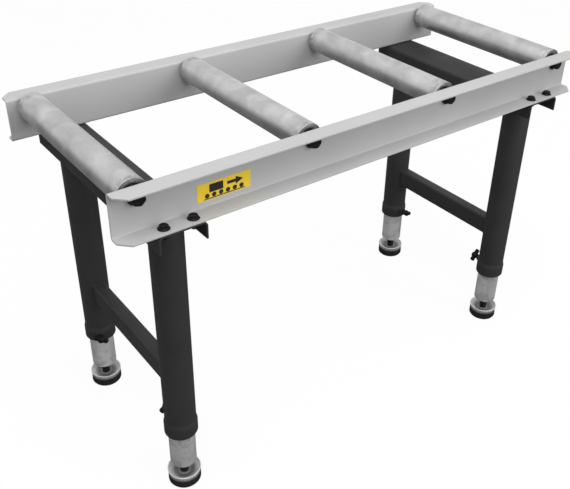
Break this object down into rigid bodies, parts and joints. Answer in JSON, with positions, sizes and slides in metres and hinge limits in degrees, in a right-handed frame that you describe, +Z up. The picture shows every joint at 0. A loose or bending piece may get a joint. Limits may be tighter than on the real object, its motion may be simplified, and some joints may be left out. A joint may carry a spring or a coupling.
{
  "type": "gravity roller conveyor",
  "caption": "Short gravity roller conveyor table: plated rollers between two channel rails on black leg frames with telescoping, clamped legs and levelling feet.",
  "frame": {"origin": "on the floor, under the middle of the table", "axes": "+X along the rails, +Y across from the near rail to the far rail, +Z up"},
  "size_m": [1, 0.438, 0.647],
  "materials": {
    "rail_paint": "light grey powder coat, satin",
    "frame_paint": "black powder coat, satin, fine orange-peel",
    "roller_zinc": "zinc-plated steel tube, softly mottled",
    "inner_leg_zinc": "zinc-plated telescoping tube, satin",
    "axle_steel": "bright drawn steel",
    "bearing_steel": "pressed bearing housing and shields",
    "black_fastener": "black oxide steel",
    "foot_zinc": "zinc-plated pressed cup",
    "pad_rubber": "moulded black rubber",
    "label_film": null
  },
  "bodies": {
    "frame": {"side_rail_near": "rail_paint", "side_rail_far": "rail_paint", "cross_member_left": "frame_paint", "cross_member_right": "frame_paint", "leg_brace_left": "frame_paint", "leg_brace_right": "frame_paint", "outer_leg_left_near": "frame_paint", "outer_leg_left_far": "frame_paint", "outer_leg_right_near": "frame_paint", "outer_leg_right_far": "frame_paint", "frame_bolt_left_near_a": "black_fastener", "frame_bolt_left_near_b": "black_fastener", "frame_bolt_left_far_a": "black_fastener", "frame_bolt_left_far_b": "black_fastener", "frame_bolt_right_near_a": "black_fastener", "frame_bolt_right_near_b": "black_fastener", "frame_bolt_right_far_a": "black_fastener", "frame_bolt_right_far_b": "black_fastener", "roller_axle_1": "axle_steel", "roller_axle_2": "axle_steel", "roller_axle_3": "axle_steel", "roller_axle_4": "axle_steel", "axle_bolt_near_1": "black_fastener", "axle_bolt_far_1": "black_fastener", "axle_bolt_near_2": "black_fastener", "axle_bolt_far_2": "black_fastener", "axle_bolt_near_3": "black_fastener", "axle_bolt_far_3": "black_fastener", "axle_bolt_near_4": "black_fastener", "axle_bolt_far_4": "black_fastener", "label_plate": "label_film"},
    "roller_1": {"roller_tube_1": "roller_zinc", "roller_bearing_near_1": "bearing_steel", "roller_bearing_far_1": "bearing_steel"},
    "roller_2": {"roller_tube_2": "roller_zinc", "roller_bearing_near_2": "bearing_steel", "roller_bearing_far_2": "bearing_steel"},
    "roller_3": {"roller_tube_3": "roller_zinc", "roller_bearing_near_3": "bearing_steel", "roller_bearing_far_3": "bearing_steel"},
    "roller_4": {"roller_tube_4": "roller_zinc", "roller_bearing_near_4": "bearing_steel", "roller_bearing_far_4": "bearing_steel"},
    "inner_leg_left_near": {"inner_leg_left_near": "inner_leg_zinc"},
    "foot_left_near": {"levelling_foot_left_near": "foot_zinc", "rubber_pad_left_near": "pad_rubber"},
    "clamp_left_near": {"clamp_screw_left_near": "black_fastener"},
    "inner_leg_left_far": {"inner_leg_left_far": "inner_leg_zinc"},
    "foot_left_far": {"levelling_foot_left_far": "foot_zinc", "rubber_pad_left_far": "pad_rubber"},
    "clamp_left_far": {"clamp_screw_left_far": "black_fastener"},
    "inner_leg_right_near": {"inner_leg_right_near": "inner_leg_zinc"},
    "foot_right_near": {"levelling_foot_right_near": "foot_zinc", "rubber_pad_right_near": "pad_rubber"},
    "clamp_right_near": {"clamp_screw_right_near": "black_fastener"},
    "inner_leg_right_far": {"inner_leg_right_far": "inner_leg_zinc"},
    "foot_right_far": {"levelling_foot_right_far": "foot_zinc", "rubber_pad_right_far": "pad_rubber"},
    "clamp_right_far": {"clamp_screw_right_far": "black_fastener"}
  },
  "joints": [
    {"name": "roller_1_spin", "type": "hinge", "parent": "frame", "child": "roller_1", "pos_m": [-0.459, 0, 0.622], "axis": [0, 1, 0], "continuous": true},
    {"name": "roller_2_spin", "type": "hinge", "parent": "frame", "child": "roller_2", "pos_m": [-0.153, 0, 0.622], "axis": [0, 1, 0], "continuous": true},
    {"name": "roller_3_spin", "type": "hinge", "parent": "frame", "child": "roller_3", "pos_m": [0.153, 0, 0.622], "axis": [0, 1, 0], "continuous": true},
    {"name": "roller_4_spin", "type": "hinge", "parent": "frame", "child": "roller_4", "pos_m": [0.459, 0, 0.622], "axis": [0, 1, 0], "continuous": true},
    {"name": "leg_height_left_near", "type": "slide", "parent": "frame", "child": "inner_leg_left_near", "axis": [0, 0, -1], "range_m": [-0.06, 0.25]},
    {"name": "foot_level_left_near", "type": "slide", "parent": "inner_leg_left_near", "child": "foot_left_near", "axis": [0, 0, -1], "range_m": [-0.02, 0.04]},
    {"name": "clamp_turn_left_near", "type": "hinge", "parent": "frame", "child": "clamp_left_near", "pos_m": [-0.40741, -0.11506, 0.14], "axis": [-0.0523, 0.9986, 0], "range_deg": [-270, 0]},
    {"name": "leg_height_left_far", "type": "slide", "parent": "frame", "child": "inner_leg_left_far", "axis": [0, 0, -1], "range_m": [-0.06, 0.25]},
    {"name": "foot_level_left_far", "type": "slide", "parent": "inner_leg_left_far", "child": "foot_left_far", "axis": [0, 0, -1], "range_m": [-0.02, 0.04]},
    {"name": "clamp_turn_left_far", "type": "hinge", "parent": "frame", "child": "clamp_left_far", "pos_m": [-0.42223, 0.11835, 0.14], "axis": [-0.3746, -0.9272, 0], "range_deg": [-270, 0]},
    {"name": "leg_height_right_near", "type": "slide", "parent": "frame", "child": "inner_leg_right_near", "axis": [0, 0, -1], "range_m": [-0.06, 0.25]},
    {"name": "foot_level_right_near", "type": "slide", "parent": "inner_leg_right_near", "child": "foot_right_near", "axis": [0, 0, -1], "range_m": [-0.02, 0.04]},
    {"name": "clamp_turn_right_near", "type": "hinge", "parent": "frame", "child": "clamp_right_near", "pos_m": [0.405, -0.115, 0.14], "axis": [0, 1, 0], "range_deg": [-270, 0]},
    {"name": "leg_height_right_far", "type": "slide", "parent": "frame", "child": "inner_leg_right_far", "axis": [0, 0, -1], "range_m": [-0.06, 0.25]},
    {"name": "foot_level_right_far", "type": "slide", "parent": "inner_leg_right_far", "child": "foot_right_far", "axis": [0, 0, -1], "range_m": [-0.02, 0.04]},
    {"name": "clamp_turn_right_far", "type": "hinge", "parent": "frame", "child": "clamp_right_far", "pos_m": [0.405, 0.115, 0.14], "axis": [0, -1, 0], "range_deg": [-270, 0]}
  ]
}
